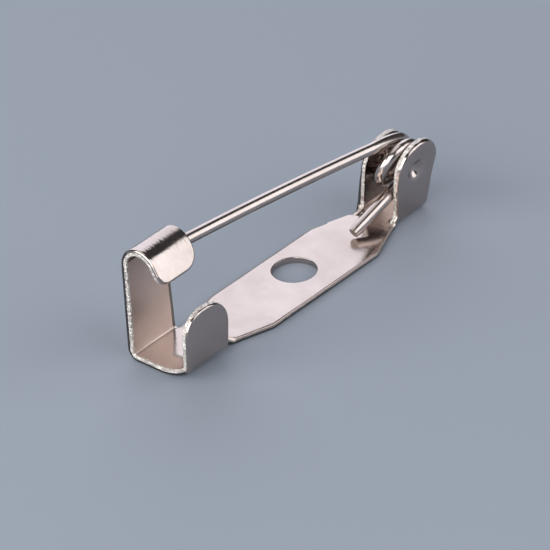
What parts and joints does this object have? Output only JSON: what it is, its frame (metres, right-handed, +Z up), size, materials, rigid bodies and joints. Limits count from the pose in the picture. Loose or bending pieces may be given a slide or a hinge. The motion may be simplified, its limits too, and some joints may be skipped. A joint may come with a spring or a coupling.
{
  "type": "brooch pin finding",
  "caption": "Bar pin back for a brooch: a stamped metal base with a fixing hole, a hooked catch and two ears that carry a coiled spring-wire pin.",
  "frame": {"origin": "centre of the fixing hole, on the underside of the base", "axes": "+X along the bar towards the hinge, +Y across the bar towards the catch's wall, +Z up from the base towards the pin"},
  "size_m": [0.0255, 0.0055, 0.0086],
  "materials": {
    "plated_sheet": "bright nickel plate on stamped steel sheet",
    "plated_wire": "bright nickel plate on drawn spring wire"
  },
  "bodies": {
    "base": {"back_plate": "plated_sheet"},
    "pin": {"pin_wire": "plated_wire"}
  },
  "joints": [
    {"name": "pin_hinge", "type": "hinge", "parent": "base", "child": "pin", "pos_m": [0.0094, -0.00097, 0.00425], "axis": [0, 0.9863, 0.165], "range_deg": [0, 120]}
  ]
}
